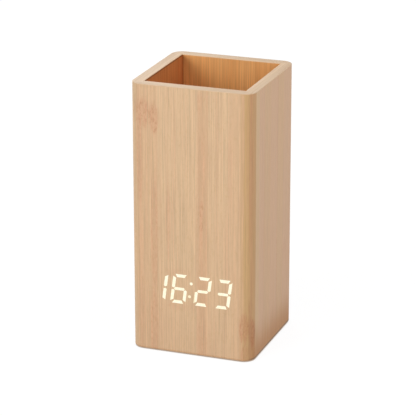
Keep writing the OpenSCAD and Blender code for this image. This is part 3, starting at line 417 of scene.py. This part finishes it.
def cup_veneer():
    """The cup's lining: warmer, narrower upright strips, with painted shade on the left board and in
    the far corner, a painted shadow under the left board's rim, and painted light on the back board.
    """
    material, tree = blank("cup_veneer")
    around, side, z = walls(tree)
    drawn = vector(tree, around, times(tree, side, 0.3), times(tree, z, 0.012))
    fine = grain(tree, drawn, 1.5, 4.0, 0.6)
    lines = grain(tree, drawn, 2.6, 2.0, 0.5)
    far = calc(tree, "LESS_THAN", side, 0.0)
    left = times(tree, ease(tree, around, 0.5, -0.5), far)
    back = minus(tree, far, left)

    strip = calc(tree, "FLOOR", calc(tree, "MULTIPLY_ADD", around, 1 / LINING_STRIP, 0.3))
    shade = pick(tree, vector(tree, strip, calc(tree, "GREATER_THAN", side, 0.0), 0.0))
    mixed = calc(tree, "MULTIPLY_ADD", shade, 0.5, times(tree, ease(tree, fine, 0.3, 0.7), 0.5))
    colour = tint(tree, mixed, LINING_LIGHT, LINING_DARK)
    # painted shade: the left board is darkened towards LINING_SHADE
    deep = times(tree, left, ease(tree, fine, 0.35, 0.65, 0.75, 1.0))
    colour = tint(tree, deep, colour, LINING_SHADE)

    # painted light on the back board: lighter towards its left and below its upper edge, darker along
    # the top
    back_board_light = plus(
        tree, ease(tree, around, 34.0, 1.0, 0.08, 0.22),
        ease(tree, z, CASE_TOP, CASE_TOP - 20.0, -0.15, 0.14)
    )
    lift = calc(tree, "MULTIPLY_ADD", back_board_light, back, 1.0)
    colour = shaded(tree, colour, times(tree, lift, ease(tree, lines, 0.35, 0.65, 0.89, 1.12)))

    # painted shade in the far corner, and a painted shadow line under the rim of the left board
    corner_shade = times(tree, ease(tree, absolute(tree, around), 1.6, 0.3, 0.0, 0.7), far)
    colour = tint(tree, corner_shade, colour, LINING_SHADE)
    rim_shadow = times(tree, ease(tree, z, CASE_TOP - 1.6, CASE_TOP - 0.8, 0.0, 0.9), left)
    colour = tint(tree, rim_shadow, colour, LINING_RIM_SHADOW)
    finish(tree, colour, 0.55, height=fine, depth=0.03, more={"Specular IOR Level": 0.25})
    return material


def fibreboard():
    """Pressed fibreboard: pale and dark fibres matted together."""
    material, tree = blank("fibreboard")
    place = millimetres(tree)
    x, y, z = apart(tree, place)
    mat = grain(tree, place, 2.2, 5.0, 0.7)
    flecks = grain(tree, vector(tree, x, times(tree, y, 0.3), times(tree, z, 0.3)), 3.5, 2.0)
    colour = tint(tree, ease(tree, mat, 0.35, 0.7), BOARD_BROWN, BOARD_DARK)
    colour = tint(tree, ease(tree, flecks, 0.62, 0.75, 0.0, 0.6), colour, BOARD_FLECK)
    finish(tree, colour, 0.85, height=mat, depth=0.12, more={"Specular IOR Level": 0.2})
    return material


# Plastics, metals and the rest

def moulded(name, colour, fleck, roughness=0.5, texture=3.0, depth=0.02):
    """Moulded plastic with the fine texture of its mould."""
    material, tree = blank(name)
    place = millimetres(tree)
    pebbles = grain(tree, place, texture, 2.0, 0.5)
    cloudy = grain(tree, place, 0.12, 2.0)
    colour = tint(tree, ease(tree, cloudy, 0.3, 0.7), colour, fleck)
    finish(
        tree, colour, ease(tree, pebbles, 0.3, 0.7, roughness - 0.06, roughness + 0.06),
        height=pebbles, depth=depth, more={"Specular IOR Level": 0.4}
    )
    return material


def plated_metal(name, colour, dull, roughness=0.3):
    """Plated metal, with fine marks and a few dull clouds."""
    material, tree = blank(name)
    place = millimetres(tree)
    marks = grain(tree, place, 6.0, 3.0)
    clouds = grain(tree, place, 0.4, 3.0)
    finish(
        tree, tint(tree, ease(tree, clouds, 0.35, 0.75), colour, dull),
        ease(tree, marks, 0.3, 0.7, roughness - 0.08, roughness + 0.1), 1.0, height=marks, depth=0.006
    )
    return material


def lit_bars():
    """The digits' light, evened out by the filling, and weaker in the colon's lower dot."""
    material, tree = blank("lit_bars")
    place = millimetres(tree)
    x, _, z = apart(tree, place)
    light = tint(tree, ease(tree, grain(tree, place, 0.9, 1.0), 0.3, 0.7), CREAM_HOT, CREAM_EDGE)
    weak = times(
        tree, ease(tree, absolute(tree, x), DOT_HALF + 0.2, DOT_HALF - 0.2),
        ease(tree, z, DOT_SPLIT + 1.0, DOT_SPLIT - 1.0)
    )
    light = tint(tree, weak, light, CREAM_WEAK)
    finish(tree, UNLIT, 0.5, more={"Emission Color": light, "Emission Strength": GLOW})
    return material


def circuit_board():
    """Green solder mask over copper tracks, which run upright and level in lanes."""
    material, tree = blank("circuit_board")
    place = millimetres(tree)
    x, _, z = apart(tree, place)
    tracks = []
    for along, across, step in zip((x, z), (z, x), TRACK_STEPS):
        lane = times(tree, across, 1 / step)
        off = absolute(tree, minus(tree, calc(tree, "FRACT", lane), 0.5))
        stretch = calc(tree, "FLOOR", times(tree, along, TRACK_RUNS))
        chance = pick(tree, vector(tree, calc(tree, "FLOOR", lane), stretch, step))
        tracks.append(times(
            tree, calc(tree, "LESS_THAN", off, TRACK_HALF), calc(tree, "GREATER_THAN", chance, 0.5)
        ))
    copper = calc(tree, "MAXIMUM", *tracks)
    colour = tint(tree, copper, tint(tree, grain(tree, place, 4.0, 2.0), MASK, MASK_PALE), TRACK)
    finish(
        tree, colour, 0.32, height=copper, depth=0.03,
        more={"Coat Weight": 0.3, "Coat Roughness": 0.15}
    )
    return material


def cell_sleeve():
    """A dry cell along X: a printed sleeve with a pale band near the raised end, and bare ends."""
    material, tree = blank("cell_sleeve")
    place = millimetres(tree)
    x, _, z = apart(tree, place)
    low, high = (Vector(corner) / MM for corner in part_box("battery_cells"))
    turned = calc(tree, "COMPARE", z, (low.z + high.z) / 2, (high.z - low.z) / 6)
    along = times(tree, x, calc(tree, "MULTIPLY_ADD", turned, -2.0, 1.0))
    along = minus(tree, along, CELL_SHIFT)
    sleeve = tint(tree, ease(tree, along, CELL_BAND - 0.1, CELL_BAND + 0.1), SLEEVE_BLUE, SLEEVE_GREY)
    line = ease(tree, absolute(tree, minus(tree, along, CELL_BAND)), 0.5, 0.45)
    sleeve = tint(tree, line, sleeve, SLEEVE_LINE)
    bare = ease(tree, absolute(tree, plus(tree, along, 0.4)), CELL_BARE, CELL_BARE + 0.1)
    scuffs = grain(tree, place, 1.2, 4.0)
    finish(
        tree, tint(tree, bare, sleeve, CELL_STEEL), ease(tree, scuffs, 0.3, 0.7, 0.22, 0.34), bare,
        height=scuffs, depth=0.01, more={"Coat Weight": 0.2}
    )
    return material


# Slot: what makes its material, and with what
MATERIALS = {
    "film": (bamboo_film,),
    "lining": (cup_veneer,),
    "board": (fibreboard,),
    "steel_screw": (plated_metal, "zinc_screws", (0.60, 0.60, 0.58), (0.46, 0.46, 0.45)),
    "foam_pad": (moulded, "foam_pads", (0.022, 0.022, 0.022), (0.032, 0.031, 0.030), 0.85, 1.6, 0.12),
    "display_black": (moulded, "display_black", (0.018, 0.018, 0.018), (0.026, 0.026, 0.027)),
    "display_filling": (moulded, "milky_filling", (0.86, 0.85, 0.79), (0.80, 0.79, 0.72), 0.35),
    "lit_bar": (lit_bars,),
    "light_chip": (moulded, "light_chips", (0.90, 0.74, 0.22), (0.86, 0.80, 0.42), 0.25),
    "tinned": (plated_metal, "tinned_pins", (0.72, 0.72, 0.70), (0.60, 0.60, 0.60), 0.28),
    "circuit_board": (circuit_board,),
    "nylon": (moulded, "nylon", (0.86, 0.85, 0.80), (0.80, 0.79, 0.73), 0.42),
    "chip_black": (moulded, "chip_black", (0.020, 0.020, 0.022), (0.030, 0.030, 0.032), 0.6),
    "chip_resistor": (moulded, "chip_resistors", (0.030, 0.030, 0.034), (0.045, 0.045, 0.050), 0.5),
    "chip_capacitor": (moulded, "chip_capacitors", (0.340, 0.200, 0.100), (0.400, 0.250, 0.140), 0.5),
    "capacitor_sleeve": (plated_metal, "capacitor_can", (0.64, 0.64, 0.66), (0.54, 0.54, 0.57), 0.26),
    "ribbon_grey": (moulded, "ribbon_grey", (0.36, 0.37, 0.40), (0.32, 0.33, 0.36)),
    "housing_plastic": (moulded, "housing_plastic", (0.030, 0.027, 0.025), (0.038, 0.034, 0.032), 0.48),
    "button_plastic": (moulded, "button_plastic", (0.048, 0.045, 0.042), (0.058, 0.054, 0.050), 0.42),
    "plunger_plastic": (moulded, "plunger_plastic", (0.70, 0.69, 0.66), (0.62, 0.61, 0.58), 0.4),
    "port_metal": (plated_metal, "port_metal", (0.70, 0.70, 0.68), (0.60, 0.60, 0.59), 0.24),
    "cell_wrap": (cell_sleeve,),
    "spring_steel": (plated_metal, "spring_steel", (0.68, 0.67, 0.64), (0.55, 0.54, 0.52), 0.26),
    "lead_red": (moulded, "lead_red", (0.50, 0.025, 0.018), (0.42, 0.020, 0.016), 0.4),
    "lead_black": (moulded, "lead_black", (0.020, 0.020, 0.020), (0.030, 0.030, 0.030), 0.4),
}


def dress(piece, material):
    """Gives a piece one material."""
    if piece.material_slots:
        for place in piece.material_slots:
            place.material = material
    else:
        piece.data.materials.append(material)


def softened(name, node, body, width, chosen):
    """A merged copy of a CAD node with the chosen edges softly rounded, which then stands for it."""
    mesh = bpy.data.meshes.new(name)
    form = bmesh.new()
    form.from_mesh(frame["nodes"][node].data)
    bmesh.ops.remove_doubles(form, verts=form.verts, dist=2e-6)
    bmesh.ops.dissolve_limit(form, angle_limit=math.radians(1.0), verts=form.verts, edges=form.edges)
    edges = [
        edge for edge in form.edges
        if len(edge.link_faces) == 2 and edge.calc_face_angle(0.0) > SOFTENED_FROM and chosen(edge)
    ]
    bmesh.ops.bevel(
        form, geom=edges, offset=width * MM, offset_type="OFFSET", segments=3,
        profile=0.5, affect="EDGES", material=-1, clamp_overlap=True
    )
    form.to_mesh(mesh)
    form.free()
    mesh.shade_smooth()
    mesh.set_sharp_from_angle(angle=math.radians(32.0))
    piece = bpy.data.objects.new(name, mesh)
    bpy.context.scene.collection.objects.link(piece)
    flats = piece.modifiers.new("keeps flats flat", "WEIGHTED_NORMAL")
    flats.keep_sharp, flats.weight = True, 100
    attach(piece, body)
    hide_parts(node)
    dress(piece, FINISHES[SLOTS[node]])


def key_mark(name, button, body, point):
    """A small raised mark on a key's cap: a triangle, pointing up (1) or down (-1), or else a ring."""
    low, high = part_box(button)
    middle = Vector(((low.x + high.x) / 2, high.y, (low.z + high.z) / 2))
    form = bmesh.new()
    if point is None:
        bmesh.ops.create_circle(
            form, segments=8, radius=MARK_WIRE * MM, matrix=Matrix.Translation((MARK_R * MM, 0.0, 0.0))
        )
        bmesh.ops.spin(
            form, geom=form.verts[:] + form.edges[:], cent=(0.0, 0.0, 0.0), axis=(0.0, 1.0, 0.0),
            angle=math.tau, steps=32, use_merge=True
        )
    else:
        upright = Matrix.Rotation(-math.pi / 2, 4, "X")
        bmesh.ops.create_cone(
            form, cap_ends=True, segments=3, radius1=1.25 * MARK_R * MM, radius2=1.1 * MARK_R * MM,
            depth=2 * MARK_WIRE * MM, matrix=upright @ Matrix.Rotation(math.pi * max(point, 0), 4, "Z")
        )
    bmesh.ops.translate(form, verts=form.verts, vec=middle)
    bmesh.ops.recalc_face_normals(form, faces=form.faces)
    mesh = bpy.data.meshes.new(name)
    form.to_mesh(mesh)
    form.free()
    mark = bpy.data.objects.new(name, mesh)
    bpy.context.scene.collection.objects.link(mark)
    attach(mark, body)
    dress(mark, FINISHES["plunger_plastic"])


# The studio

def camera():
    """The photograph's viewpoint, with a long lens."""
    turn, up = math.radians(CAMERA_ROUND), math.radians(CAMERA_UP)
    back = Vector((math.sin(turn) * math.cos(up), -math.cos(turn) * math.cos(up), math.sin(up)))
    data = bpy.data.cameras.new("camera")
    data.lens, data.sensor_width = CAMERA_LENS, 36.0
    data.shift_x, data.shift_y = CAMERA_SHIFT
    data.clip_start, data.clip_end = 0.05, 20.0
    eye = bpy.data.objects.new("camera", data)
    eye.rotation_mode = "QUATERNION"
    eye.location = MIDDLE + back * CAMERA_AWAY
    eye.rotation_quaternion = (-back).to_track_quat("-Z", "Y")
    bpy.context.scene.collection.objects.link(eye)
    bpy.context.scene.camera = eye


def soft_lamp(name, place, side, power, colour):
    """A soft box that looks at the middle of the object."""
    data = bpy.data.lights.new(name, "AREA")
    data.shape, data.size, data.energy, data.color = "SQUARE", side, power, colour
    lamp = bpy.data.objects.new(name, data)
    lamp.location = place
    lamp.rotation_euler = (MIDDLE - Vector(place)).to_track_quat("-Z", "Y").to_euler()
    bpy.context.scene.collection.objects.link(lamp)


def seen(tree):
    """1 for what the camera sees, straight or in metal and glass."""
    path = put(tree, "LightPath").outputs
    straight = calc(tree, "MAXIMUM", path["Is Camera Ray"], path["Is Glossy Ray"])
    return calc(tree, "MAXIMUM", straight, path["Is Transmission Ray"])


def floor():
    """A white floor, with a painted brown shadow along the line where the object stands and a breath of
    cast shadow.
    """
    form = bmesh.new()
    bmesh.ops.create_grid(form, x_segments=1, y_segments=1, size=FLOOR_HALF)
    mesh = bpy.data.meshes.new("floor")
    form.to_mesh(mesh)
    form.free()
    sweep = bpy.data.objects.new("floor", mesh)
    bpy.context.scene.collection.objects.link(sweep)
    material, tree = blank("white_sweep")
    thrown = put(tree, "BsdfDiffuse", FLOOR_GREY).outputs[0]
    shade = put(tree, "BsdfDiffuse", FLOOR_SHADE).outputs[0]
    clear = put(tree, "AmbientOcclusion", WHITE, CONTACT_REACH, samples=16).outputs["AO"]
    # painted shadow: the floor's glow darkens and turns brown close to the object
    contact_shadow_colour = tint(tree, ease(tree, clear, 0.1, 0.6), CONTACT_SHADOW_BROWN, WHITE)
    white_with_contact_shadow = put(tree, "Emission", contact_shadow_colour, ease(tree, clear, 0.05, 0.65, 0.34, 0.92)).outputs[0]
    bright = put(tree, "AddShader", shade, white_with_contact_shadow).outputs[0]
    put(tree, "OutputMaterial", put(tree, "MixShader", seen(tree), thrown, bright).outputs[0])
    dress(sweep, material)


def surroundings():
    """A plain white background, which lights the object less than it shows."""
    world = bpy.data.worlds.new("studio")
    world.use_nodes = True
    tree = world.node_tree
    tree.nodes.clear()
    ambient = put(tree, "Background", DAYLIGHT, 0.45).outputs[0]
    white = put(tree, "Background", WHITE, 1.0).outputs[0]
    put(tree, "OutputWorld", put(tree, "MixShader", seen(tree), ambient, white).outputs[0])
    bpy.context.scene.world = world


camera()
surroundings()
floor()
for lamp in LAMPS:
    soft_lamp(*lamp)
bpy.context.scene.view_settings.view_transform = "Standard"

SLOTS = {part["node"]: part["material_slot"] for part in frame["record"]["subparts"]}
FINISHES = {slot: make(*given) for slot, (make, *given) in MATERIALS.items()}
for node, slot in SLOTS.items():
    dress(frame["nodes"][node], FINISHES[slot])

FOOT_Z, RIM_Z = (corner.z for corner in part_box("outer_film"))
BACK_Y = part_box("rear_housing")[1].y
NEAR = 0.01 * MM


def on_rim_or_foot(edge):
    heights = [vert.co.z for vert in edge.verts]
    return min(heights) > RIM_Z - NEAR or max(heights) < FOOT_Z + NEAR


def on_back(edge):
    return min(vert.co.y for vert in edge.verts) > BACK_Y - NEAR


softened("film_wrap", "outer_film", "case", FILM_EDGE, on_rim_or_foot)
softened("moulded_housing", "rear_housing", "case", PLASTIC_EDGE, on_back)
softened("moulded_door", "battery_door", "door", PLASTIC_EDGE, on_back)
key_mark("set_mark", "set_button", "set_key", None)
key_mark("up_mark", "up_button", "up_key", 1)
key_mark("down_mark", "down_button", "down_key", -1)
